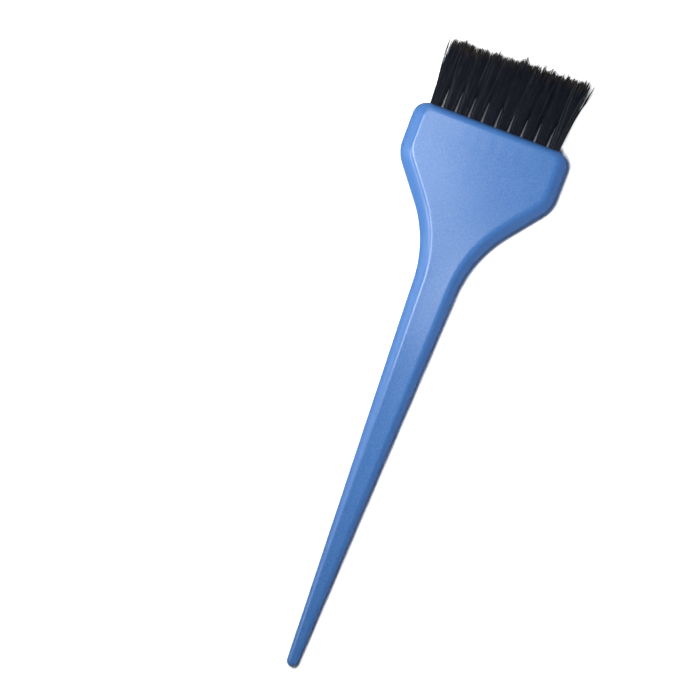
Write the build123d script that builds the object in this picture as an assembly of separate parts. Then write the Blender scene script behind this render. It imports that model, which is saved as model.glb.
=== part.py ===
from build123d import *

import os
from math import asin, atan, atan2, cos, degrees, radians, sin, tan

# Hair-tinting brush: a moulded handle with a parting tail, and one row of tufts, each
# folded over a small metal anchor and driven into its own blind hole.
#
# The pieces are drawn around the brush's mid-plane: X across, +Y towards the bristles with
# y = 0 at the bristle edge of the head, Z through the thickness. At the end the whole brush is
# laid on its flat back, so that +Z is up and z = 0 is the surface it lies on.
# Every length is in millimetres and every angle in degrees.

# ---- Handle, seen from the front -------------------------------------------------------
HANDLE_LENGTH = 187.1  # bristle edge of the head to the tip of the tail
HEAD_HALF_WIDTH = 26.45
HEAD_CORNER_RADIUS = 4.6
SHOULDER_Y = -18.25  # where the straight side meets the sloping shoulder
SHOULDER_SLOPE = 38.3  # the shoulder's angle to the length of the brush
SHOULDER_RADIUS = 11.25
NECK_Y = -42.0  # where the shoulder meets the long taper of the neck
NECK_HALF_WIDTH = 7.67
NECK_RADIUS = 41.0
TAIL_HALF_WIDTH = 1.75

# ---- Handle, seen from the side --------------------------------------------------------
HEAD_THICKNESS = 8.6  # at the bristle edge
TAIL_THICKNESS = 3.6  # at the tip of the tail

# ---- The bevel that runs down both sides, on both faces --------------------------------
BEVEL_SIDE = 3.4  # its width along the head's sides and shoulders
BEVEL_NECK = 3.0  # at the neck
BEVEL_TAIL = 1.0  # at the tip of the tail
EDGE_ROUNDING = 2.0  # the bristle edge has this radius instead of a bevel

# The section from the parting line up to the flat face. Each pair is the share of the
# half thickness, and the share of the bevel's width that is already taken there.
SECTION = (
    (0.000, 0.00),  # parting line
    (0.070, 0.01),  # top of the narrow upright wall
    (0.160, 0.06),
    (0.315, 0.18),
    (0.505, 0.38),  # the bevel, which is slightly rounded
    (0.700, 0.63),
    (0.900, 0.93),
    (0.975, 1.08),
    (1.000, 1.22),  # edge of the flat face
)

# ---- Tufts and anchors -----------------------------------------------------------------
TUFT_COUNT = 10
TUFT_PITCH = 4.55
HOLE_RADIUS = 1.95
HOLE_DEPTH = 12.5
TUFT_CLEARANCE = 0.05  # between a tuft's root and its hole
BRISTLE_LENGTH = 22.6  # free length, from the bristle edge to the trimmed tips
TIP_WIDTH = 4.72  # one tuft across the brush, at its tip
TIP_THICKNESS = 6.2  # one tuft through the brush's thickness, at its tip
TIP_FLARE = 1.065  # how much further apart the tufts stand at their tips than at the edge
FOLD_ROUNDING = 1.2
TRIM_ROUNDING = 0.5

ANCHOR_WIDTH = 4.5  # through the thickness, so that each end bites into the plastic
ANCHOR_HEIGHT = 1.7
ANCHOR_THICKNESS = 0.35
ANCHOR_ABOVE_BOTTOM = 1.1  # the fold of the tuft passes underneath

# ---- Worked out from the above ---------------------------------------------------------
HALF_HEAD = HEAD_THICKNESS / 2
HALF_TAIL = TAIL_THICKNESS / 2
FACE_SLOPE = (HALF_HEAD - HALF_TAIL) / HANDLE_LENGTH  # rise of the front face, mm per mm
LAY_ANGLE = atan(FACE_SLOPE)  # turns the back face level


def rounded_outline(points, radii):
    """A closed wire through points, as one line and one arc for each corner."""
    arcs = []
    for i, (corner, radius) in enumerate(zip(points, radii)):
        towards_last = (points[i - 1] - corner).normalized()
        towards_next = (points[(i + 1) % len(points)] - corner).normalized()
        half_angle = radians(towards_last.get_angle(towards_next)) / 2
        setback = radius / tan(half_angle)
        to_centre = (towards_last + towards_next).normalized()
        middle = corner + to_centre * (radius / sin(half_angle) - radius)
        arcs.append((corner + towards_last * setback, middle, corner + towards_next * setback))

    edges = []
    for i, (start, middle, end) in enumerate(arcs):
        edges.append(Edge.make_line(arcs[i - 1][-1], start))
        edges.append(Edge.make_three_point_arc(start, middle, end))
    return Wire(edges)


def crossing(point_a, angle_a, point_b, angle_b):
    """Where two lines cross. An angle is measured from -Y towards -X."""
    direction_a = Vector(-sin(radians(angle_a)), -cos(radians(angle_a)))
    direction_b = Vector(-sin(radians(angle_b)), -cos(radians(angle_b)))
    gap = point_b - point_a
    turn = direction_a.X * direction_b.Y - direction_a.Y * direction_b.X
    along = (gap.X * direction_b.Y - gap.Y * direction_b.X) / turn
    return point_a + direction_a * along


def handle_outline(height, share):
    """The handle's outline at this share of the half thickness.

    It is drawn in by a share of the bevel's width, and at the bristle edge by the rounding.
    """
    side = share * BEVEL_SIDE
    neck = share * BEVEL_NECK
    tail = share * BEVEL_TAIL
    climb = (height * HALF_HEAD - (HALF_HEAD - EDGE_ROUNDING)) / EDGE_ROUNDING
    edge = EDGE_ROUNDING * (1 - cos(asin(min(max(climb, 0), 1))))

    slope = radians(SHOULDER_SLOPE)
    edge_corner = Vector(HEAD_HALF_WIDTH - side, -edge)
    shoulder = Vector(HEAD_HALF_WIDTH - side, SHOULDER_Y + side * tan(slope / 2))
    neck_point = Vector(NECK_HALF_WIDTH - neck, NECK_Y)
    tail_corner = Vector(TAIL_HALF_WIDTH - tail, tail - HANDLE_LENGTH)
    taper = neck_point - tail_corner
    taper_angle = degrees(atan2(taper.X, taper.Y))
    neck_corner = crossing(shoulder, SHOULDER_SLOPE, tail_corner, taper_angle)

    right = [edge_corner, shoulder, neck_corner, tail_corner]
    radii = [
        HEAD_CORNER_RADIUS - 0.6 * side,
        SHOULDER_RADIUS - side,
        NECK_RADIUS + side,
        0.9 * (TAIL_HALF_WIDTH - tail),
    ]
    left = [Vector(-p.X, p.Y) for p in reversed(right)]
    return rounded_outline(right + left, radii + radii[::-1])


def at_height(wire, share):
    """The wire laid in the plane at this share of the half thickness, which falls to the tail."""
    tilt = atan(share * FACE_SLOPE)
    plane = Plane(origin=(0, 0, share * HALF_HEAD), x_dir=(1, 0, 0), z_dir=(0, -sin(tilt), cos(tilt)))
    return plane.location * wire


def tuft_centre(index):
    """How far across the brush a tuft stands, counted from the left."""
    return (index - (TUFT_COUNT - 1) / 2) * TUFT_PITCH


def make_anchor(index):
    """A flat metal strip, set across the thickness so that it bites into the thick walls."""
    bottom = -HOLE_DEPTH + ANCHOR_ABOVE_BOTTOM
    strip = Box(ANCHOR_THICKNESS, ANCHOR_HEIGHT, ANCHOR_WIDTH, align=(Align.CENTER, Align.MIN, Align.CENTER))
    return Pos(tuft_centre(index), bottom, 0) * strip


def tuft_section(x, y, width, thickness, corner_radius):
    """One slice across a tuft, facing along the brush."""
    plane = Plane(origin=(x, y, 0), x_dir=(1, 0, 0), z_dir=(0, 1, 0))
    return plane * RectangleRounded(width, thickness, corner_radius)


def make_tuft(index):
    """A bundle of filaments: a root in the hole, folded under its anchor, and a free, flared end."""
    root = 2 * (HOLE_RADIUS - TUFT_CLEARANCE)
    almost_round = 0.99 * root / 2
    x = tuft_centre(index)
    tuft = loft(
        [
            tuft_section(x, -HOLE_DEPTH, root, root, almost_round),
            tuft_section(x, 0, root, root, almost_round),
            tuft_section(x * TIP_FLARE, BRISTLE_LENGTH, TIP_WIDTH, TIP_THICKNESS, 1.6),
        ],
        ruled=True,
    )
    tuft = fillet(tuft.faces().sort_by(Axis.Y)[0].edges(), FOLD_ROUNDING)
    tuft = fillet(tuft.faces().sort_by(Axis.Y)[-1].edges(), TRIM_ROUNDING)
    return tuft - make_anchor(index)


def make_handle():
    """The moulding: both bevelled faces, the side wall with its parting line, and the tuft holes."""
    below = [at_height(handle_outline(height, share), -height) for height, share in reversed(SECTION)]
    above = [at_height(handle_outline(height, share), height) for height, share in SECTION[1:]]
    handle = Solid.make_loft(below + above, ruled=True)
    for index in range(TUFT_COUNT):
        hole = Cylinder(HOLE_RADIUS, HOLE_DEPTH, rotation=(90, 0, 0), align=(Align.CENTER, Align.CENTER, Align.MIN))
        handle = handle - Pos(tuft_centre(index), 0, 0) * hole - make_anchor(index)
    return handle


def lay_on_back(shape):
    """Turn a piece from the mid-plane frame so that the handle's flat back lies level."""
    return Pos(0, 0, HALF_HEAD * cos(LAY_ANGLE)) * Rot(X=degrees(LAY_ANGLE)) * shape


def main():
    pieces = {"handle": make_handle()}
    for index in range(TUFT_COUNT):
        pieces[f"tuft_{index + 1:02d}"] = make_tuft(index)
        pieces[f"anchor_{index + 1:02d}"] = make_anchor(index)

    laid = {name: lay_on_back(shape) for name, shape in pieces.items()}
    box = Compound(list(laid.values())).bounding_box()
    to_origin = Pos(-box.center().X, -box.center().Y, -box.min.Z)

    os.makedirs("parts", exist_ok=True)
    for name, shape in laid.items():
        export_step(to_origin * shape, f"parts/{name}.step")


main()
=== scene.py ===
from math import atan, atan2, cos, pi, radians, sin, sqrt, tan

import bmesh
import bpy
import numpy as np
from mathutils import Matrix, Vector


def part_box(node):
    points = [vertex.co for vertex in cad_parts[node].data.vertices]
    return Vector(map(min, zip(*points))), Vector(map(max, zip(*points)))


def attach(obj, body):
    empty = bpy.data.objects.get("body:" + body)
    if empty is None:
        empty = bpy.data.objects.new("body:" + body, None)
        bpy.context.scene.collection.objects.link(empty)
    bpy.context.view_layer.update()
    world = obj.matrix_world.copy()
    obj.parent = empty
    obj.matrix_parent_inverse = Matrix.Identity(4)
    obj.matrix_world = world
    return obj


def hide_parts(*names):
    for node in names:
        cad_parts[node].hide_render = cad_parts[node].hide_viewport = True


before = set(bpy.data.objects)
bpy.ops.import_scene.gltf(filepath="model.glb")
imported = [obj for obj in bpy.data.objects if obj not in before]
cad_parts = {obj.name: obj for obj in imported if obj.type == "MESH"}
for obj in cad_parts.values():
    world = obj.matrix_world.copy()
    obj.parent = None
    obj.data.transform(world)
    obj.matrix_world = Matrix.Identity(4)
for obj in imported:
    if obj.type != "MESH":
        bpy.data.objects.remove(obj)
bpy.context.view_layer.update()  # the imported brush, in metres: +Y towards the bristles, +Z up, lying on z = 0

# Lengths are in millimetres, in the brush's mid-plane frame: x across, y = 0 at the bristle
# edge of the head with +y towards the bristles, z through the thickness. to_row() lays them
# in the frame's own place, in metres.
MM = 0.001

# ---- The handle's driving dimensions, as the CAD has them --------------------------------
HANDLE_LENGTH = 187.1
HEAD_HALF_WIDTH = 26.45
HEAD_CORNER_RADIUS = 4.6
SHOULDER_Y = -18.25
SHOULDER_SLOPE = 38.3
SHOULDER_RADIUS = 11.25
NECK_Y = -42.0
NECK_HALF_WIDTH = 7.67
NECK_RADIUS = 41.0
TAIL_HALF_WIDTH = 1.75
CORNER_TIGHTENS = 0.6  # how fast the head's corner gets tighter with the bevel
TIP_ROUNDNESS = 0.9  # the tip's corners have this share of the tail's half width as radius
HALF_HEAD = 4.3  # half the thickness at the bristle edge
HALF_TAIL = 1.8  # and at the tip of the tail
BEVEL_SIDE = 3.4
BEVEL_NECK = 3.0
BEVEL_TAIL = 1.0
EDGE_HEIGHT = 4.0  # the bristle edge is rounder than the CAD's: from just above the parting line
EDGE_DEPTH = 2.7  # back to here

TUFT_COUNT = 10
TUFT_PITCH = 4.55
HOLE_RADIUS = 1.95
HOLE_DEPTH = 12.5
BRISTLE_LENGTH = 22.6
ANCHOR_HALF_THICKNESS = 0.175
ANCHOR_BOTTOM = -11.4  # the filaments' folds pass underneath

# ---- Worked out from the above ----------------------------------------------------------
FACE_SLOPE = (HALF_HEAD - HALF_TAIL) / HANDLE_LENGTH
LAY_ANGLE = atan(FACE_SLOPE)  # the handle lies on its back face, so its mid-plane tilts
TAIL_TIP_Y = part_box("handle")[0].y / MM  # in the row frame
EDGE_Y = TAIL_TIP_Y + HANDLE_LENGTH * cos(LAY_ANGLE)

# ---- The section of the handle's side, from the parting line to the flat face -------------
# Each pair is the share of the bevel's width and the share of the half thickness.
PARTING = (-0.022, 0.0)  # a trace of flash stands out along the parting line
WALL_FOOT = (-0.022, 0.015)
WALL_TOP = (0.010, 0.032)
WALL_BEND = (0.020, 0.131)
BEVEL_FOOT = (0.182, 0.314)
BEVEL_BOW = (0.434, 0.598)
BEVEL_HEAD = (0.76, 0.811)
CREASE = (1.0, 1.0)
FACE_EDGE = (1.30, 1.0)
TIGHT_BEVEL_HEAD = (0.86, 0.895)  # down the head's left side the crease is tighter
TIGHT_FACE_EDGE = (1.18, 1.0)
SOFT_BEVEL_HEAD = (0.60, 0.78)  # down the right side it is softer, and further out
SOFT_CREASE = (0.80, 1.0)
SOFT_FACE_EDGE = (1.24, 1.0)
WALL_STEPS, BEVEL_STEPS, CREASE_STEPS = 5, 8, 8  # edges along each curve of the section
TIGHT_FROM, TIGHT_TO = -20.0, -14.0  # over this stretch of y the left crease tightens
ROUND_FROM, ROUND_TO = -95, -165  # and over this one both sides turn into the tail's round section
MIDDLE_BLEND = 1.5  # left turns into right within this distance of x = 0

# ---- Surface detail: depths, and the stretches of x or y over which they come and go --------
DISH = 0.05  # the faces sink a little in the middle, where the plastic is thick
DISH_STARTS = (-1.5, -9)
DISH_ENDS = (-110, -165)
DISH_POWER = 2  # the dish is round across the neck
HEAD_POWER = 1.2  # and, with this added to the power, flatter in its middle across the head
NECK_TO_HEAD = (-44, -20)
BAND_END = -8.8  # from the bristle edge to here the face is a little lower, and glossier
BAND_SINK = 0.010
BAND_BLEND = 1.2
BAND_STARTS = (-EDGE_DEPTH, -EDGE_DEPTH - 2.0)
BAND_POWER = 8  # the band keeps its depth almost to the face's sides
TUFT_SINK = 0.018  # the plastic has sunk over each hole as it cooled
SINKS_START = (-EDGE_DEPTH, -4.5)
SINKS_END = (-8, -13)
SINKS_SIDE = (20, 23)


def to_row(points):
    """Points of the mid-plane frame, in millimetres, laid in the row frame, in metres."""
    x, y, z = points[..., 0], points[..., 1], points[..., 2]
    lain_y = y * cos(LAY_ANGLE) - z * sin(LAY_ANGLE) + EDGE_Y
    lain_z = y * sin(LAY_ANGLE) + (z + HALF_HEAD) * cos(LAY_ANGLE)
    return np.stack([x, lain_y, lain_z], axis=-1) * MM


def smooth_step(low, high, values):
    """0 below low, 1 above high, and a smooth rise between them."""
    share = np.clip((values - low) / (high - low), 0, 1)
    return share * share * (3 - 2 * share)


def on_right(x):
    """0 on the brush's left side and 1 on its right."""
    return smooth_step(-MIDDLE_BLEND, MIDDLE_BLEND, x)


# ==== The handle ===========================================================================

# How many edges each stretch of half the outline is cut into: a straight and the bend after it.
TOP_EDGES, TOP_BEND = 36, 8
SIDE_EDGES, SHOULDER_BEND = 16, 14
SLOPE_EDGES, NECK_BEND = 14, 28
TAPER_EDGES, TAIL_BEND = 96, 8
TIP_EDGES = 1


def outline_half(side_share, edge_share):
    """Half the handle's outline, from the middle of the bristle edge to the tip of the tail.

    side_share of the bevel's width is taken off the sides, and edge_share of the rounding
    off the bristle edge.
    """
    side = side_share * BEVEL_SIDE
    neck = side_share * BEVEL_NECK
    tail = side_share * BEVEL_TAIL
    edge = edge_share * EDGE_DEPTH

    slope = radians(SHOULDER_SLOPE)
    edge_corner = np.array([HEAD_HALF_WIDTH - side, -edge])
    shoulder = np.array([HEAD_HALF_WIDTH - side, SHOULDER_Y + side * tan(slope / 2)])
    neck_point = np.array([NECK_HALF_WIDTH - neck, NECK_Y])
    tail_corner = np.array([TAIL_HALF_WIDTH - tail, tail - HANDLE_LENGTH])
    taper = atan2(*(neck_point - tail_corner))
    across = np.array([[-sin(slope), sin(taper)], [-cos(slope), cos(taper)]])
    along = np.linalg.solve(across, tail_corner - shoulder)
    neck_corner = shoulder - along[0] * np.array([sin(slope), cos(slope)])

    stops = [
        np.array([0, -edge]),
        edge_corner,
        shoulder,
        neck_corner,
        tail_corner,
        np.array([0, tail - HANDLE_LENGTH]),
    ]
    bends = [
        (HEAD_CORNER_RADIUS - CORNER_TIGHTENS * side, TOP_EDGES, TOP_BEND),
        (SHOULDER_RADIUS - side, SIDE_EDGES, SHOULDER_BEND),
        (NECK_RADIUS + side, SLOPE_EDGES, NECK_BEND),
        (TIP_ROUNDNESS * (TAIL_HALF_WIDTH - tail), TAPER_EDGES, TAIL_BEND),
    ]
    points = [stops[0][None]]
    for i, (radius, straight_edges, bend_edges) in enumerate(bends, start=1):
        corner = stops[i]
        back = stops[i - 1] - corner
        ahead = stops[i + 1] - corner
        back /= np.linalg.norm(back)
        ahead /= np.linalg.norm(ahead)
        turn = pi - np.arccos(back @ ahead)
        setback = radius * tan(turn / 2)
        start = corner + back * setback
        to_centre = (back + ahead) / np.linalg.norm(back + ahead)
        centre = corner + to_centre * radius / cos(turn / 2)
        steps = np.linspace(0, 1, straight_edges + 1)[1:, None]
        points.append(points[-1][-1] * (1 - steps) + start * steps)
        angles = np.linspace(-turn / 2, turn / 2, bend_edges + 1)[1:, None]
        tangent = (ahead - back) / np.linalg.norm(ahead - back)
        points.append(centre - radius * (np.cos(angles) * to_centre - np.sin(angles) * tangent))
    steps = np.linspace(0, 1, TIP_EDGES + 1)[1:, None]
    points.append(points[-1][-1] * (1 - steps) + stops[-1] * steps)
    return np.concatenate(points)


def whole_outline(side_share, edge_share):
    """The closed outline, clockwise from the middle of the bristle edge."""
    right = outline_half(side_share, edge_share)
    left = right[-2:0:-1] * (-1, 1)
    return np.concatenate([right, left])


def curve_between(start, control, end, edges):
    """Points along a quadratic curve, without its first point."""
    t = np.linspace(0, 1, edges + 1)[1:, None]
    start, control, end = (np.array(p) for p in (start, control, end))
    return (1 - t) ** 2 * start + 2 * t * (1 - t) * control + t**2 * end


def side_section(bevel_head, face_edge, crease=CREASE):
    """The side's section, as rows of (share of the bevel's width, share of the half thickness)."""
    return np.concatenate(
        [
            [PARTING, WALL_FOOT, WALL_TOP],
            curve_between(WALL_TOP, WALL_BEND, BEVEL_FOOT, WALL_STEPS),
            curve_between(BEVEL_FOOT, BEVEL_BOW, bevel_head, BEVEL_STEPS),
            curve_between(bevel_head, crease, face_edge, CREASE_STEPS),
        ]
    )


def face_relief(x, y, half_width):
    """How far the face lies below its plane: the dish, the band, and a sink over each hole."""
    from_middle = np.clip(np.abs(x) / half_width, 0, 1)
    power = DISH_POWER + HEAD_POWER * smooth_step(*NECK_TO_HEAD, y)
    dished = smooth_step(*DISH_STARTS, y) * (1 - smooth_step(*DISH_ENDS, y))
    dish = DISH * (1 - from_middle**power) * dished

    in_band = 1 - smooth_step(BAND_END + BAND_BLEND, BAND_END - BAND_BLEND, y)
    band = BAND_SINK * (in_band * (1 - from_middle**BAND_POWER)) * smooth_step(*BAND_STARTS, y)

    over_tuft = 0.5 + 0.5 * np.cos(2 * pi * (x / TUFT_PITCH + 0.5))
    wave = np.sin(0.31 * x + 0.9)  # two slow waves make the sinks unlike each other
    other_wave = np.cos(0.47 * x + 0.25 * y)
    uneven = 0.55 + 0.45 * wave * other_wave
    in_row = 1 - smooth_step(*SINKS_SIDE, np.abs(x))
    sunk = smooth_step(*SINKS_START, y) * (1 - smooth_step(*SINKS_END, y))
    return dish + band + TUFT_SINK * over_tuft * uneven * in_row * sunk


class Surface:
    """Collects points and faces, and gives each point a number."""

    def __init__(self):
        self.points = []
        self.faces = []
        self.count = 0

    def add(self, points):
        """Adds rows of points and returns their numbers."""
        self.points.append(points)
        numbers = np.arange(self.count, self.count + len(points))
        self.count += len(points)
        return numbers

    def strip(self, low, high, closed):
        """Quads between two equal rows of point numbers."""
        last = len(low) if closed else len(low) - 1
        for i in range(last):
            j = (i + 1) % len(low)
            self.faces.append((low[i], low[j], high[j], high[i]))

    def narrowing(self, wide, narrow):
        """Joins a row to one with half as many edges, three triangles to a pair."""
        for i in range(len(narrow) - 1):
            a, b, c = wide[2 * i : 2 * i + 3]
            self.faces.append((a, b, narrow[i]))
            self.faces.append((b, narrow[i + 1], narrow[i]))
            self.faces.append((b, c, narrow[i + 1]))


def half_thickness(y):
    """Half the handle's thickness at y."""
    return HALF_HEAD + FACE_SLOPE * y


# The face's mesh has one row for each point down the side of its outline, and fewer
# columns as it narrows.
TOP_COLUMNS = 2 * TOP_EDGES + TOP_BEND
TIP_COLUMNS = 2 * TIP_EDGES + TAIL_BEND
NARROW_AT_Y = (-26, -38, -70)
SAG_FADE = 3  # the top edge's bend dies out over this many times its own depth


def face_patch(surface, ring, numbers, side):
    """Fills a face inside its edge ring. side is +1 for the front and -1 for the back."""
    count = len(ring)
    first = TOP_COLUMNS // 2
    last = count // 2 - TIP_COLUMNS // 2
    right = list(range(first, last + 1))
    left = [(-i) % count for i in right]
    top = [i % count for i in range(-first, first + 1)]
    tip = list(range(count - last, last - 1, -1))

    columns = TOP_COLUMNS
    narrowings = list(NARROW_AT_Y)
    above = numbers[top]
    share = np.linspace(0, 1, columns + 1)[:, None]
    sag = ring[top] - (ring[left[0]] + share * (ring[right[0]] - ring[left[0]]))
    reach = abs(sag).max() * SAG_FADE
    for row in range(1, len(right) - 1):
        start, end = ring[left[row]], ring[right[row]]
        depth = ring[right[0]][1] - end[1]
        narrow = bool(narrowings) and end[1] < narrowings[0]
        if narrow:
            narrowings.pop(0)
            columns //= 2
        share = np.linspace(0, 1, columns + 1)[:, None]
        flat = start + share * (end - start)
        if columns == TOP_COLUMNS:
            flat = flat + sag * max(0.0, 1 - depth / reach)
        inner = flat[1:-1]
        half_width = abs(end[0])
        height = half_thickness(inner[:, 1]) - face_relief(inner[:, 0], inner[:, 1], half_width)
        inner_numbers = surface.add(np.column_stack([inner, side * height]))
        here = np.concatenate([[numbers[left[row]]], inner_numbers, [numbers[right[row]]]])
        if narrow:
            surface.narrowing(above, here)
        else:
            surface.strip(above, here, closed=False)
        above = here
    surface.strip(above, numbers[tip], closed=False)


def handle_surface():
    """The whole moulding as rings of points from face edge to face edge, and two face patches."""
    plan = whole_outline(0, 0)
    by_side = whole_outline(1, 0) - plan
    by_edge = whole_outline(0, 1) - plan
    rounder = smooth_step(ROUND_FROM, ROUND_TO, plan[:, 1])[:, None]
    beside_head = smooth_step(TIGHT_FROM, TIGHT_TO, plan[:, 1])
    right = on_right(plan[:, 0])
    tighter = (beside_head * (1 - right))[:, None]
    softer = right[:, None] * (1 - rounder)

    surface = Surface()
    crisp = side_section(BEVEL_HEAD, FACE_EDGE)
    tight = side_section(TIGHT_BEVEL_HEAD, TIGHT_FACE_EDGE)
    soft = side_section(SOFT_BEVEL_HEAD, SOFT_FACE_EDGE, SOFT_CREASE)
    turns = np.linspace(0, pi / 2, len(crisp))
    rounded = np.column_stack([FACE_EDGE[0] * (1 - np.cos(turns)), np.sin(turns)])
    rings = {}
    for level in range(len(crisp)):
        section = crisp[level] + tighter * (tight[level] - crisp[level])
        section = section + softer * (soft[level] - crisp[level])
        section = section + rounder * (rounded[level] - crisp[level])
        taken, height = section[:, :1], section[:, 1:]
        climb = np.clip((height * HALF_HEAD - (HALF_HEAD - EDGE_HEIGHT)) / EDGE_HEIGHT, 0, 1)
        flat = plan + by_side * taken + by_edge * (1 - np.sqrt(1 - climb**2))
        z = height[:, 0] * half_thickness(flat[:, 1])
        for side in (1, -1):
            if level == 0 and side < 0:
                rings[0, -1] = rings[0, 1]
                continue
            rings[level, side] = surface.add(np.column_stack([flat, side * z]))
    top = len(crisp) - 1
    for side in (1, -1):
        for level in range(top):
            surface.strip(rings[level, side], rings[level + 1, side], closed=True)
        face_patch(surface, flat, rings[top, side], side)
    return surface


def mesh_from(name, points, faces):
    """A smooth-shaded mesh object in the row frame."""
    mesh = bpy.data.meshes.new(name)
    mesh.from_pydata(to_row(points).tolist(), [], [[int(i) for i in face] for face in faces])
    mesh.validate()
    mesh.polygons.foreach_set("use_smooth", [True] * len(mesh.polygons))
    piece = bpy.data.objects.new(name, mesh)
    bpy.context.scene.collection.objects.link(piece)
    return piece


def face_outwards(piece):
    """Turns all of a closed mesh's faces outwards."""
    work = bmesh.new()
    work.from_mesh(piece.data)
    bmesh.ops.recalc_face_normals(work, faces=work.faces)
    work.to_mesh(piece.data)
    work.free()


def tuft_x(index):
    """How far across the brush a tuft stands."""
    return (index - (TUFT_COUNT - 1) / 2) * TUFT_PITCH


HOLE_SIDES = 48
CUTTER_STANDS_OUT = 1.0  # the cylinders that cut the holes reach this far past the bristle edge
SHARP_ANGLE = 50  # the holes' rims are steeper than this, and stay sharp


def hole_cutters():
    """One object with a closed cylinder for each tuft hole."""
    sides = HOLE_SIDES
    points = []
    faces = []
    for index in range(TUFT_COUNT):
        base = len(points)
        for y in (-HOLE_DEPTH, CUTTER_STANDS_OUT):
            for k in range(sides):
                angle = 2 * pi * k / sides
                points.append((tuft_x(index) + HOLE_RADIUS * cos(angle), y, HOLE_RADIUS * sin(angle)))
        faces.append([base + k for k in range(sides)])
        faces.append([base + 2 * sides - 1 - k for k in range(sides)])
        for k in range(sides):
            j = (k + 1) % sides
            faces.append([base + k, base + sides + k, base + sides + j, base + j])
    cutters = mesh_from("hole_cutters", np.array(points), faces)
    face_outwards(cutters)
    return cutters


def make_handle():
    """The visible handle: the smooth moulding with its ten blind holes."""
    surface = handle_surface()
    handle = mesh_from("handle_moulding", np.concatenate(surface.points), surface.faces)
    face_outwards(handle)
    cutters = hole_cutters()
    cut = handle.modifiers.new("holes", "BOOLEAN")
    cut.operation = "DIFFERENCE"
    cut.solver = "EXACT"
    cut.object = cutters
    dependencies = bpy.context.evaluated_depsgraph_get()
    drilled = bpy.data.meshes.new_from_object(handle.evaluated_get(dependencies))
    handle.modifiers.remove(cut)
    handle.data = drilled
    drilled.name = "handle_moulding"
    bpy.data.objects.remove(cutters)
    drilled.polygons.foreach_set("use_smooth", [True] * len(drilled.polygons))
    drilled.set_sharp_from_angle(angle=radians(SHARP_ANGLE))
    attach(handle, "root")
    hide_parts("handle")
    return handle


# ==== The bristles =========================================================================

# ---- One filament: folded in half round the anchor, so that it shows two ends, or legs --------
FILAMENT_RADIUS = 0.082
FILAMENT_SIDES = 5
THICKNESS_RANGE = (0.85, 1.1)  # from the thinnest to the thickest, as shares of the radius
TIP_TAPER = 0.5  # a leg loses this share of its thickness
TAPER_FROM = 0.88  # from this share of its length on
LEG_STEPS = np.array([0.0, 0.1, 0.22, 0.36, 0.5, 0.64, 0.78, 0.9, 0.96, 1.0])
FOLD_STEPS = 4
FOLD_DEPTH = 0.12  # below the anchor, for the innermost filament
FOLD_DEEPENS = 0.8  # and this much more for the outermost

# ---- The shape of one tuft ------------------------------------------------------------------
FILAMENTS_PER_TUFT = 180
ROOT_RADIUS = 1.78
MOUTH_HALF_WIDTH = 1.84  # at the mouth of the hole
MOUTH_BULGE = 0.12  # the filaments spring out this much
BULGE_LENGTH = 0.8  # within this distance
TIP_HALF_WIDTH = 2.80  # neighbouring tufts run into each other towards the tips
OPENING_LENGTH = 11.5  # how far from the handle the slits between the tufts close
MOUTH_HALF_THICKNESS = 1.80
TIP_HALF_THICKNESS = 3.0
THICKENING_POWER = 0.9
SQUARE_POWER = 3.6  # the tuft's round section turns into this rounded square
SQUARE_FROM, SQUARE_TO = 0.1, 0.6  # over this share of its length
TIP_SHIFT = 0.85  # the whole row leans a little to one side
TIP_SPREAD = 0.0195  # and fans out a little
TUFT_LEAN = 0.15  # and each tuft leans in its own way
LEAN_POWER = 1.4
GIRTH_RANGE = (0.95, 1.04)

# ---- The trimmed ends -------------------------------------------------------------------------
TRIM_SLOPE = 1.3  # the left end of the row is cut this much shorter
TRIM_FROM, TRIM_TO = 12, -20  # and the row gets shorter between these places across the brush
LENGTH_SPREAD = 0.55
CLUMP_LENGTH_SPREAD = 0.75
WORN_SHARE = 0.25  # this share of the ends is worn or broken
WORN_LOSS = 1.2  # and shorter by about this much
MOST_SHORTER, MOST_LONGER = 4.0, 3.4  # than the trimmed length

# ---- How the filaments wander ---------------------------------------------------------------
CLUMPS_PER_TUFT = 20
CLUMPING = 0.50  # at the tips, filaments have gone this share of the way to their clump's middle
CLUMPING_FROM, CLUMPING_TO = 0.65, 1.05  # as shares of the bristles' length
WANDER = 0.30  # how far a tip is off to either side
SWAY_POWER = 1.8  # and how late on its way up a filament leaves its line
BOW = 0.06  # how far it bends out in between
STRAY_FROM = 0.945  # filaments with a strand number above this one stray
STRAY_WANDER = 0.8
STRAY_LONGER = 3.0
STRAY_THICKNESS = 0.75  # and have this share of the others' thickness
OUTER_STRAYS = 12  # on the outer side of the first and of the last tuft
OUTER_SPLAY = (0.3, 1.7)  # how far these stand out to the side
OUTER_LENGTH = (-1.5, 2.4)  # and how much longer they are than the trimmed length
LEFT_SPLAY_FROM, RIGHT_SPLAY_FROM = 0.3, 0.55  # as shares of the bristles' length


def squarish(u, v, power):
    """Moves points of the unit disc so that they fill a rounded square."""
    radius = np.hypot(u, v) + 1e-9
    c, s = np.abs(u) / radius, np.abs(v) / radius
    stretch = (c**power + s**power) ** (-1 / power)
    return u * stretch, v * stretch


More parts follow.
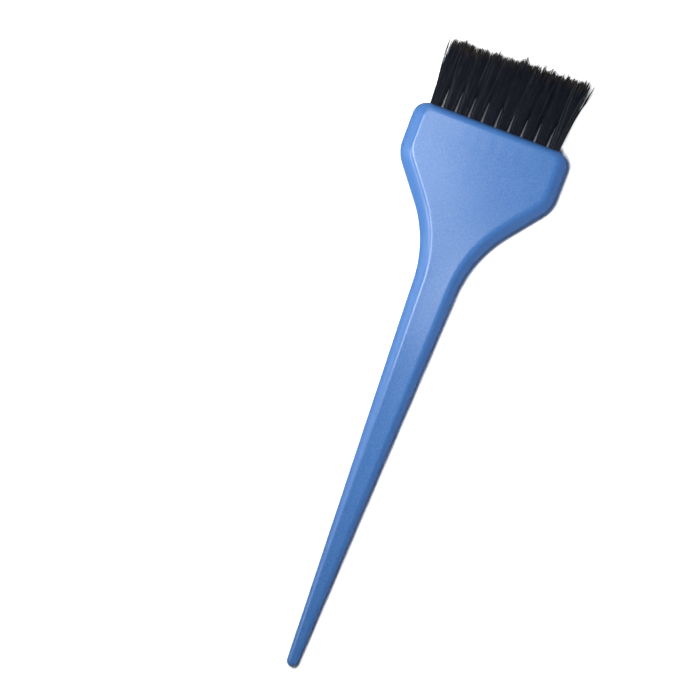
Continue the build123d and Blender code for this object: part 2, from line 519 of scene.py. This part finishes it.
def leg_points(random, index, u, v, strand, lean, girth):
    """Centre lines of the free legs of one tuft's filaments, from the hole's mouth to the tips.

    u and v are each leg's place in the unit disc, and strand is its filament's own number from
    0 to 1. The result has one row of points a leg.
    """
    count = len(u)
    tip_u, tip_v = squarish(u, v, SQUARE_POWER)
    clumps = random.uniform(-1, 1, (CLUMPS_PER_TUFT, 2))
    far = (tip_u[:, None] - clumps[:, 0]) ** 2 + (tip_v[:, None] - clumps[:, 1]) ** 2
    nearest = np.argmin(far, axis=1)

    trimmed = BRISTLE_LENGTH - TRIM_SLOPE * smooth_step(TRIM_FROM, TRIM_TO, tuft_x(index))
    length = trimmed + random.normal(0, LENGTH_SPREAD, count)
    length += random.normal(0, CLUMP_LENGTH_SPREAD, CLUMPS_PER_TUFT)[nearest]
    length -= (random.random(count) < WORN_SHARE) * random.exponential(WORN_LOSS, count)
    stray = strand > STRAY_FROM
    length += stray * random.random(count) * STRAY_LONGER
    length = np.clip(length, trimmed - MOST_SHORTER, trimmed + MOST_LONGER)

    wander = random.normal(0, WANDER, (count, 2))
    wander = wander + stray[:, None] * random.normal(0, STRAY_WANDER, (count, 2))
    bow = random.normal(0, BOW, (count, 2))
    outer = {0: -1, TUFT_COUNT - 1: 1}.get(index, 0)  # -1 for the first tuft, 1 for the last
    splay = np.zeros(count)
    splay_from = LEFT_SPLAY_FROM if outer < 0 else RIGHT_SPLAY_FROM
    outermost = np.argsort(-u * outer)[:OUTER_STRAYS] if outer else []
    splay[outermost] = outer * random.uniform(*OUTER_SPLAY, len(outermost))
    length[outermost] = trimmed + random.uniform(*OUTER_LENGTH, len(outermost))
    base_half_width = MOUTH_HALF_WIDTH + MOUTH_BULGE

    rows = []
    for step in LEG_STEPS:
        y = length * step
        reach = y / BRISTLE_LENGTH
        opened = 1 - np.exp(-((y / OPENING_LENGTH) ** 2))
        half_x = MOUTH_HALF_WIDTH + MOUTH_BULGE * (1 - np.exp(-y / BULGE_LENGTH))
        half_x = half_x + (TIP_HALF_WIDTH * girth - base_half_width) * opened
        thickened = np.clip(reach, 0, 1.2) ** THICKENING_POWER
        half_z = MOUTH_HALF_THICKNESS + (TIP_HALF_THICKNESS - MOUTH_HALF_THICKNESS) * thickened
        gather = CLUMPING * smooth_step(CLUMPING_FROM, CLUMPING_TO, reach)
        square = smooth_step(SQUARE_FROM, SQUARE_TO, reach)
        at_u = u * (1 - square) + tip_u * square
        at_v = v * (1 - square) + tip_v * square
        at_u = at_u + (clumps[nearest, 0] - at_u) * gather
        at_v = at_v + (clumps[nearest, 1] - at_v) * gather
        sway = reach**SWAY_POWER
        arc = np.sin(pi * step) * opened
        splayed = np.clip((reach - splay_from) / (1 - splay_from), 0, 2)
        tip_shift = TIP_SHIFT + TIP_SPREAD * tuft_x(index) + lean
        x = tuft_x(index) + tip_shift * reach**LEAN_POWER + at_u * half_x
        x = x + wander[:, 0] * sway + bow[:, 0] * arc + splay * splayed
        z = at_v * half_z + wander[:, 1] * sway + bow[:, 1] * arc
        rows.append(np.stack([x, y, z], axis=1))
    return np.stack(rows, axis=1)


def filament_lines(random, index, strand):
    """Centre lines of one tuft's filaments: up one leg, round under the anchor, up the other."""
    count = FILAMENTS_PER_TUFT
    lean = random.normal(0, TUFT_LEAN)
    girth = random.uniform(*GIRTH_RANGE)
    gap = (ANCHOR_HALF_THICKNESS + FILAMENT_RADIUS) / ROOT_RADIUS
    radius = np.sqrt((np.arange(count) + 0.5) / count)
    turn = np.arange(count) * pi * (3 - sqrt(5))
    u = gap + np.abs(radius * np.cos(turn)) * (1 - gap)
    v = radius * np.sin(turn)
    fits = np.minimum(1, 1 / np.hypot(u, v))
    u, v = u * fits, v * fits

    closed = np.clip((u - gap) / (1 - gap), 0, 1)  # above the anchor the two legs close up
    left = leg_points(random, index, -closed, v, strand, lean, girth)
    right = leg_points(random, index, closed, v, strand, lean, girth)
    depth = FOLD_DEPTH + FOLD_DEEPENS * (u - gap) / (1 - gap)
    fold = []
    for angle in np.linspace(0, pi, FOLD_STEPS + 1):
        x = tuft_x(index) - u * ROOT_RADIUS * cos(angle)
        fold.append(np.stack([x, ANCHOR_BOTTOM - depth * sin(angle), v * ROOT_RADIUS], axis=1))
    fold = np.stack(fold, axis=1)
    return np.concatenate([left[:, ::-1], fold, right], axis=1)


def tubes(lines, radii):
    """Points and faces of round tubes along centre lines, closed at both ends."""
    count, steps = lines.shape[:2]
    ahead = np.gradient(lines, axis=1)
    ahead /= np.linalg.norm(ahead, axis=2, keepdims=True)
    side = np.zeros_like(ahead)
    side[..., 2] = 1.0
    side -= ahead * (side * ahead).sum(2, keepdims=True)
    side /= np.linalg.norm(side, axis=2, keepdims=True)
    other = np.cross(ahead, side)
    angles = 2 * pi * np.arange(FILAMENT_SIDES) / FILAMENT_SIDES
    rings = (
        lines[:, :, None]
        + side[:, :, None] * (radii[..., None, None] * np.cos(angles)[:, None])
        + other[:, :, None] * (radii[..., None, None] * np.sin(angles)[:, None])
    )
    points = rings.reshape(-1, 3)
    number = np.arange(len(points)).reshape(count, steps, FILAMENT_SIDES)
    around = np.roll(number, -1, axis=2)
    quads = np.stack([number[:, :-1], around[:, :-1], around[:, 1:], number[:, 1:]], axis=-1).reshape(-1, 4)
    caps = np.concatenate([number[:, 0, ::-1], number[:, -1]])
    return points, quads.tolist() + caps.tolist()


def make_tuft(random, index):
    """One tuft's filaments as a single piece."""
    strand = random.random(FILAMENTS_PER_TUFT)
    lines = filament_lines(random, index, strand)
    count, steps = lines.shape[:2]
    leg = np.concatenate([LEG_STEPS[::-1], np.zeros(FOLD_STEPS + 1), LEG_STEPS])
    taper = 1 - TIP_TAPER * smooth_step(TAPER_FROM, 1.0, leg)
    thickness = FILAMENT_RADIUS * random.uniform(*THICKNESS_RANGE, (count, 1))
    thickness = thickness * np.where(strand > STRAY_FROM, STRAY_THICKNESS, 1)[:, None]
    points, faces = tubes(lines, thickness * taper)
    piece = mesh_from(f"bristles_{index + 1:02d}", points, faces)
    strand = np.repeat(strand, steps * FILAMENT_SIDES).astype(np.float32)
    along = np.tile(np.repeat(leg, FILAMENT_SIDES), count).astype(np.float32)
    for label, values in (("strand", strand), ("along", along)):
        piece.data.attributes.new(label, "FLOAT", "POINT").data.foreach_set("value", values)
    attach(piece, "root")
    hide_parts(f"tuft_{index + 1:02d}")
    return piece


# ==== Materials ============================================================================

# Colours are linear red, green, blue and alpha. Scales are in cycles to the metre, and the
# bump's depth is in metres.
DEEP_BLUE, BRIGHT_BLUE = (0.040, 0.136, 0.382, 1), (0.046, 0.147, 0.402, 1)
BLUE_SPECK = (0.12, 0.25, 0.46, 1)
SPECK_SHARE = 0.30
SPECK_MEAN = 0.45  # the share of specks that stays where the grain fades out
GRAIN_SCALE, CELL_SCALE = 1900, 2400.0
CLOUD_SCALE, SWIRL_SCALE = 55, 260
GRAIN_BUMP, GRAIN_DEPTH = 0.28, 0.00005
STEEP, LEVEL = 0.90, 0.985  # how far the surface faces up or down on a bevel and on a face
BEVEL_GRAIN = 0.10  # what is left of the grain on the bevels
PLASTIC_ROUGHNESS = (0.280, 0.290)
FACE_ROUGHER = 0.015  # past the band along the bristle edge
BAND_ROUGHER = 0.2  # the share of that which the band has too
BAND_FADE = 0.0030  # half the length over which it changes, in metres

BLUE_BLACK, SOFT_BLACK = (0.0042, 0.0055, 0.0115, 1), (0.0090, 0.0116, 0.0210, 1)
# A few strands are painted paler grey: painted glints along single filaments.
PAINTED_GLINT = (0.055, 0.057, 0.062, 1)
PAINTED_GLINT_FROM, PAINTED_GLINT_TO = 0.955, 0.985  # strand numbers of the few strands painted paler as painted glints
# The tips are painted lighter brown: painted light shining through the thin ends.
TIP_LIT_THROUGH = (0.058, 0.045, 0.033, 1)
NYLON_ROUGHNESS = (0.40, 0.55)

DARK_BRASS, LIGHT_BRASS = (0.70, 0.49, 0.20, 1), (0.84, 0.63, 0.30, 1)
DRAWN_SCALE = (9000.0, 9000.0, 500.0)  # the streaks run along the thickness of the brush
BRASS_ROUGHNESS = (0.24, 0.40)

WHITE_LOW, WHITE_HIGH = (0.90, 0.90, 0.90, 1), (0.93, 0.93, 0.93, 1)
TABLE_SCALE = 12


class Nodes:
    """Short ways to build one material's node tree."""

    def __init__(self, name):
        self.material = bpy.data.materials.new(name)
        self.material.use_nodes = True
        self.tree = self.material.node_tree
        self.shader = self.tree.nodes["Principled BSDF"]

    def new(self, kind, inputs=(), **settings):
        """A new node with these settings, and with these values or links on its inputs."""
        node = self.tree.nodes.new(kind)
        for key, value in settings.items():
            setattr(node, key, value)
        for key, value in dict(inputs).items():
            self.give(node.inputs[key], value)
        return node

    def give(self, socket, value):
        """Links an output to the socket, or sets its value."""
        if isinstance(value, bpy.types.NodeSocket):
            self.tree.links.new(value, socket)
        else:
            socket.default_value = value

    def noise(self, place, scale, detail=2.0, roughness=0.5):
        """A noise texture's value, with scale in cycles to the metre."""
        inputs = {"Vector": place, "Scale": scale, "Detail": detail, "Roughness": roughness}
        return self.new("ShaderNodeTexNoise", inputs).outputs["Fac"]

    def remap(self, value, low, high, to_low, to_high):
        """The value with its range from low to high moved to another range."""
        inputs = {"Value": value, "From Min": low, "From Max": high, "To Min": to_low, "To Max": to_high}
        node = self.new("ShaderNodeMapRange", inputs, interpolation_type="SMOOTHSTEP", clamp=True)
        return node.outputs["Result"]

    def math(self, operation, a, b=0.0):
        """A sum on one or two values."""
        return self.new("ShaderNodeMath", {0: a, 1: b}, operation=operation).outputs[0]

    def mix(self, factor, a, b):
        """A colour between a and b."""
        node = self.new("ShaderNodeMix", {0: factor, 6: a, 7: b}, data_type="RGBA")
        return node.outputs[2]


def handle_plastic():
    """Blue moulded plastic: a fine grain on the faces, smoother bevels, a glossier band."""
    n = Nodes("blue_moulding")
    place = n.new("ShaderNodeTexCoord").outputs["Object"]
    split = n.new("ShaderNodeSeparateXYZ", {"Vector": place})
    normal = n.new("ShaderNodeNewGeometry").outputs["Normal"]
    up = n.math("ABSOLUTE", n.new("ShaderNodeSeparateXYZ", {"Vector": normal}).outputs["Z"])
    on_face = n.remap(up, STEEP, LEVEL, BEVEL_GRAIN, 1.0)
    fade_from = (EDGE_Y + BAND_END) * MM - BAND_FADE
    fade_to = (EDGE_Y + BAND_END) * MM + BAND_FADE
    past_band = n.remap(split.outputs["Y"], fade_from, fade_to, 1.0, BAND_ROUGHER)

    fine = n.noise(place, GRAIN_SCALE, 2.0, 0.6)
    cells = n.new("ShaderNodeTexVoronoi", {"Vector": place, "Scale": CELL_SCALE}, feature="SMOOTH_F1")
    grain = n.math("ADD", fine, n.math("MULTIPLY", cells.outputs["Distance"], 0.5))
    height = n.math("MULTIPLY", grain, on_face)
    relief = {"Height": height, "Strength": GRAIN_BUMP, "Distance": GRAIN_DEPTH}
    bump = n.new("ShaderNodeBump", relief)
    n.give(n.shader.inputs["Normal"], bump.outputs["Normal"])

    cloud = n.noise(place, CLOUD_SCALE, 4.0, 0.6)
    swirl = n.noise(place, SWIRL_SCALE, 3.0, 0.55)
    shade = n.math("ADD", n.math("MULTIPLY", cloud, 0.6), n.math("MULTIPLY", swirl, 0.4))
    base = n.mix(n.remap(shade, 0.30, 0.70, 0.0, 1.0), DEEP_BLUE, BRIGHT_BLUE)
    speck = n.math("SUBTRACT", n.remap(fine, 0.38, 0.66, 0.0, 1.0), SPECK_MEAN)
    speck = n.math("ADD", n.math("MULTIPLY", speck, on_face), SPECK_MEAN)
    speckled = n.mix(n.math("MULTIPLY", speck, SPECK_SHARE), base, BLUE_SPECK)
    n.give(n.shader.inputs["Base Color"], speckled)

    rough = n.remap(swirl, 0.3, 0.7, *PLASTIC_ROUGHNESS)
    rough = n.math("ADD", rough, n.math("MULTIPLY", past_band, FACE_ROUGHER))
    n.give(n.shader.inputs["Roughness"], rough)
    n.shader.inputs["IOR"].default_value = 1.43
    n.shader.inputs["Coat Weight"].default_value = 0.35
    n.shader.inputs["Coat Roughness"].default_value = 0.15
    n.shader.inputs["Coat IOR"].default_value = 1.5
    n.give(n.shader.inputs["Coat Normal"], bump.outputs["Normal"])
    return n.material


def bristle_nylon():
    """Black nylon filaments, each a little different, with tips painted lighter brown as painted light shining
    through them, and a few strands painted paler as painted glints.
    """
    n = Nodes("black_nylon")
    strand = n.new("ShaderNodeAttribute", attribute_name="strand").outputs["Fac"]
    along = n.new("ShaderNodeAttribute", attribute_name="along").outputs["Fac"]
    black = n.mix(strand, BLUE_BLACK, SOFT_BLACK)
    # painted glints: a few strands painted paler
    glinted = n.mix(n.remap(strand, PAINTED_GLINT_FROM, PAINTED_GLINT_TO, 0.0, 1.0), black, PAINTED_GLINT)
    # painted light: the tips turn lighter brown, more on some strands than others, where light shines through
    # them
    at_tip = n.remap(along, TAPER_FROM, 1.0, 0.0, 1.0)
    lit_through = n.math("MULTIPLY", at_tip, n.remap(strand, 0.1, 0.9, 0.25, 1.0))
    tipped = n.mix(lit_through, glinted, TIP_LIT_THROUGH)
    n.give(n.shader.inputs["Base Color"], tipped)
    n.give(n.shader.inputs["Roughness"], n.remap(strand, 0.0, 1.0, *NYLON_ROUGHNESS))
    n.shader.inputs["Specular IOR Level"].default_value = 0.14
    return n.material


def anchor_brass():
    """Flat brass wire, sheared off and drawn, with a fine lengthwise grain."""
    n = Nodes("drawn_brass")
    place = n.new("ShaderNodeTexCoord").outputs["Object"]
    drawn = n.new("ShaderNodeMapping", {"Vector": place, "Scale": DRAWN_SCALE})
    streaks = n.noise(drawn.outputs["Vector"], 1.0, 3.0)
    tint = n.mix(n.remap(streaks, 0.3, 0.7, 0.0, 1.0), DARK_BRASS, LIGHT_BRASS)
    n.give(n.shader.inputs["Base Color"], tint)
    n.give(n.shader.inputs["Roughness"], n.remap(streaks, 0.3, 0.7, *BRASS_ROUGHNESS))
    n.shader.inputs["Metallic"].default_value = 1.0
    return n.material


def painted_light_table():
    """A plain white table top, which glows with painted light as strongly as its mesh's values say."""
    n = Nodes("painted_light_table")
    place = n.new("ShaderNodeTexCoord").outputs["Object"]
    tone = n.noise(place, TABLE_SCALE, 2.0)
    n.give(n.shader.inputs["Base Color"], n.mix(tone, WHITE_LOW, WHITE_HIGH))
    # painted light: the table glows, except in the painted shadows round the brush
    painted_light = n.new("ShaderNodeAttribute", attribute_name="painted_light").outputs["Fac"]
    n.give(n.shader.inputs["Emission Strength"], n.math("MULTIPLY", painted_light, PAINTED_LIGHT_STRENGTH))
    n.shader.inputs["Emission Color"].default_value = (1, 1, 1, 1)
    n.shader.inputs["Roughness"].default_value = 0.9
    n.shader.inputs["Specular IOR Level"].default_value = 0.1
    return n.material


def paint(piece, material):
    """Gives a piece one material, whatever it had."""
    if not piece.material_slots:
        piece.data.materials.append(material)
    for part in piece.material_slots:
        part.link = "OBJECT"
        part.material = material


# ==== Table, light and camera ==============================================================

# The table's glow is painted light: it whitens the table round the brush, and leaves a painted shadow beside
# the brush's right side.
PAINTED_LIGHT_STRENGTH = 1.0  # keeps the table as white as a slightly overexposed picture has it
PAINTED_SHADOW_REACH = 1.5  # the painted light starts this far out on the right of the head, and nearer the thin tail, leaving a painted shadow there
PAINTED_SHADOW_EDGE = 1.2  # the painted light's own soft edge, where the painted shadow fades
BRISTLE_HALF_ROW = 22.0
BRISTLE_LEAN = 2.2  # the row's right end reaches this much further at the tips
PAINTED_LIGHT_UNDER_TUFTS = 0.12  # the faint painted light that is seen through the slits between the tufts
SLITS_START = (-1, 0.5)
SLITS_END = (6, 11)
OUTLINE_STEP = 3  # every third point of the outline is enough for the painted shadow
TABLE_REACH = 3000.0
TABLE_DROP = 0.03  # the table lies this little below the brush, so that they don't touch
GRID_STEP = 0.75  # a fine grid lies round the brush, to carry the painted light's values
GRID_HALF_WIDTH = 45
GRID_FROM, GRID_TO = -195, 34.5

CAMERA_TURN = radians(20.73)  # the brush leans this far to the right in the picture
VIEW_WIDTH = 0.2270  # how much of the table the picture shows, at the brush's mid-plane
VIEW_CENTRE = (-0.0183, -0.0019)
CAMERA_HEIGHT = 0.60
SENSOR = 36.0  # in millimetres
RANDOM_SEED = 7


def in_picture(right, up):
    """The row-frame x and y of a place given by how far right and up it is of the picture's middle."""
    x = VIEW_CENTRE[0] + right * cos(CAMERA_TURN) - up * sin(CAMERA_TURN)
    y = VIEW_CENTRE[1] + right * sin(CAMERA_TURN) + up * cos(CAMERA_TURN)
    return x, y


def outside(points, outline):
    """How far points lie outside a closed outline. It is 0 inside."""
    step = np.roll(outline, -1, axis=0) - outline
    offset = points[:, None] - outline
    share = np.clip((offset * step).sum(axis=2) / (step**2).sum(axis=1), 0, 1)
    distance = np.linalg.norm(offset - share[..., None] * step, axis=2).min(axis=1)
    ends = outline + step
    spans = (outline[:, 1] > points[:, 1:]) != (ends[:, 1] > points[:, 1:])
    rise = np.where(step[:, 1] == 0, 1, step[:, 1])
    crossing = outline[:, 0] + (points[:, 1:] - outline[:, 1]) * step[:, 0] / rise
    inside = (spans & (points[:, :1] < crossing)).sum(axis=1) % 2 == 1
    return np.where(inside, 0, distance)


def painted_table_light(x, y):
    """How much painted light the table gives off at these places, with x and y as in the mid-plane frame.

    There is none under the brush, except a faint painted glow below the slits between the tufts,
    and none in a painted shadow beside the handle's right side.
    """
    points = np.stack([x, y], axis=1)
    from_handle = outside(points, whole_outline(0, 0)[::OUTLINE_STEP])
    left, right = -BRISTLE_HALF_ROW, BRISTLE_HALF_ROW
    row = np.array([(left, 0), (right, 0), (right + BRISTLE_LEAN, BRISTLE_LENGTH), (left, BRISTLE_LENGTH)])
    from_bristles = outside(points, row)
    thick = np.clip(half_thickness(y) / HALF_HEAD, 0, 1)
    # painted shadow: no painted light within this reach of the right side, narrowing with the handle's
    # thickness
    painted_shadow = PAINTED_SHADOW_REACH * thick * on_right(x)
    painted_lit = smooth_step(0, PAINTED_SHADOW_EDGE, from_handle - painted_shadow)
    painted_lit = painted_lit * smooth_step(0, PAINTED_SHADOW_EDGE, from_bristles)
    # a faint painted light on the table under the slits between the tufts
    painted_below_slits = PAINTED_LIGHT_UNDER_TUFTS * (from_bristles == 0) * smooth_step(*SLITS_START, y)
    painted_below_slits = painted_below_slits * (1 - smooth_step(*SLITS_END, y))
    return np.maximum(painted_lit, painted_below_slits)


def make_table():
    """The white table that the brush lies on."""
    past_end = GRID_STEP / 2
    width = np.arange(-GRID_HALF_WIDTH, GRID_HALF_WIDTH + past_end, GRID_STEP)
    length = np.arange(GRID_FROM, GRID_TO + past_end, GRID_STEP)
    across = np.concatenate([[-TABLE_REACH], width, [TABLE_REACH]])
    along = np.concatenate([[-TABLE_REACH], length, [TABLE_REACH]])
    x, y = (values.ravel() for values in np.meshgrid(across, along))
    number = np.arange(len(x)).reshape(len(along), len(across))
    cells = np.stack([number[:-1, :-1], number[:-1, 1:], number[1:, 1:], number[1:, :-1]], axis=-1)
    mesh = bpy.data.meshes.new("table_top")
    places = np.stack([x, y + EDGE_Y, np.full(len(x), -TABLE_DROP)], axis=1) * MM
    mesh.from_pydata(places.tolist(), [], cells.reshape(-1, 4).tolist())
    # painted light: how strongly the table glows at each point, none in its painted shadows
    painted_light = painted_table_light(x, y).astype(np.float32)
    mesh.attributes.new("painted_light", "FLOAT", "POINT").data.foreach_set("value", painted_light)
    table = bpy.data.objects.new("table_top", mesh)
    bpy.context.scene.collection.objects.link(table)
    paint(table, painted_light_table())
    table.visible_glossy = False  # keeps the white table out of the plastic's reflections


# Each light's place is how far right and up of the picture's middle it stands, and how high,
# and its aim is a place on the table, all in metres. Its size is the side of its square, and its
# spread is in degrees. The tube faces straight down, and has a length instead of an aim.
LIGHTS = {
    "key_left": {"place": (-0.100, 0.060, 0.300), "size": 0.06, "watts": 0.700, "aim": (-0.100, 0.060)},
    "key_top": {"place": (-0.030, 0.090, 0.300), "size": 0.06, "watts": 0.670, "aim": (-0.035, 0.090)},
    "near_side": {"place": (-0.164, 0.103, 0.212), "size": 0.12, "watts": 0.070, "aim": (0.035, 0.030)},
    "window": {
        "place": (-0.433, 0.020, 0.250),
        "size": 0.20,
        "watts": 0.060,
        "aim": (0.050, 0.070),
        "spread": 40,
    },
    "softbox": {
        "place": (0.0, 0.374, 0.354),
        "size": 0.25,
        "watts": 0.074,
        "aim": (0.050, 0.070),
        "spread": 60,
    },
    "tube": {"place": (0.031, 0.070, 0.300), "size": 0.03, "watts": 0.122, "length": 0.16},
    "panel": {"place": (-0.090, 0.080, 0.300), "size": 0.12, "watts": 0.900, "aim": (-0.090, 0.080)},
    "left_card": {"place": (-0.420, 0.160, 0.060), "size": 0.25, "watts": 0.260, "aim": (0.0, 0.0)},
    "sky_fill": {"place": (0.450, -0.030, 0.032), "size": 0.05, "watts": 0.60, "aim": (0.030, 0.030)},
}
SKY_COLOUR = (0.38, 0.63, 1.0)
GLOSS_ONLY = ("softbox", "tube", "panel", "left_card")  # these show in the gloss but light nothing
LIGHT_ONLY = ("key_left", "key_top", "sky_fill")  # and these the other way round
SURROUND_LIGHT = 0.04  # how strongly the white surround lights the brush
SURROUND_SEEN = 1.0  # and how bright the camera sees it


def area_light(name, place, size, watts, aim=None, spread=180, length=None):
    """A soft light that faces its aim, or with a length a tube that faces straight down."""
    data = bpy.data.lights.new(name, "AREA")
    data.size = size
    if length:
        data.shape = "RECTANGLE"
        data.size_y = length
    data.energy = watts
    data.spread = radians(spread)
    light = bpy.data.objects.new(name, data)
    light.visible_camera = False
    right, up, height = place
    light.location = (*in_picture(right, up), height)
    light.rotation_euler = (0, 0, CAMERA_TURN)
    if aim:
        facing = Vector((*in_picture(*aim), 0)) - light.location
        light.rotation_euler = facing.to_track_quat("-Z", "Y").to_euler()
    bpy.context.scene.collection.objects.link(light)


def light_scene():
    """Two small keys above left, weaker side and top lights, a bluish fill, and a white surround."""
    world = bpy.data.worlds.new("surround")
    world.use_nodes = True
    tree = world.node_tree
    seen = tree.nodes.new("ShaderNodeLightPath").outputs["Is Camera Ray"]
    strength = tree.nodes.new("ShaderNodeMapRange")
    strength.inputs["To Min"].default_value = SURROUND_LIGHT
    strength.inputs["To Max"].default_value = SURROUND_SEEN
    tree.links.new(seen, strength.inputs["Value"])
    tree.nodes["Background"].inputs["Color"].default_value = (1, 1, 1, 1)
    tree.links.new(strength.outputs["Result"], tree.nodes["Background"].inputs["Strength"])
    bpy.context.scene.world = world
    for name, settings in LIGHTS.items():
        area_light(name, **settings)
    bpy.data.lights["sky_fill"].color = SKY_COLOUR
    for name in GLOSS_ONLY:
        bpy.data.objects[name].visible_diffuse = False
    for name in LIGHT_ONLY:
        bpy.data.objects[name].visible_glossy = False


def place_camera():
    """Straight above, turned so that the brush leans as it does in the picture."""
    data = bpy.data.cameras.new("camera")
    data.sensor_width = SENSOR
    data.lens = SENSOR * (CAMERA_HEIGHT - HALF_HEAD * MM) / VIEW_WIDTH
    data.dof.use_dof = False
    data.clip_start = 0.01
    camera = bpy.data.objects.new("camera", data)
    camera.location = (*VIEW_CENTRE, CAMERA_HEIGHT)
    camera.rotation_euler = (0, 0, CAMERA_TURN)
    bpy.context.scene.collection.objects.link(camera)
    bpy.context.scene.camera = camera
    bpy.context.scene.view_settings.view_transform = "Standard"


def main():
    handle = make_handle()
    paint(handle, handle_plastic())

    random = np.random.default_rng(RANDOM_SEED)
    nylon = bristle_nylon()
    for index in range(TUFT_COUNT):
        paint(make_tuft(random, index), nylon)

    brass = anchor_brass()
    for name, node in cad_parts.items():
        if name.startswith("anchor"):
            paint(node, brass)

    make_table()
    light_scene()
    place_camera()


main()
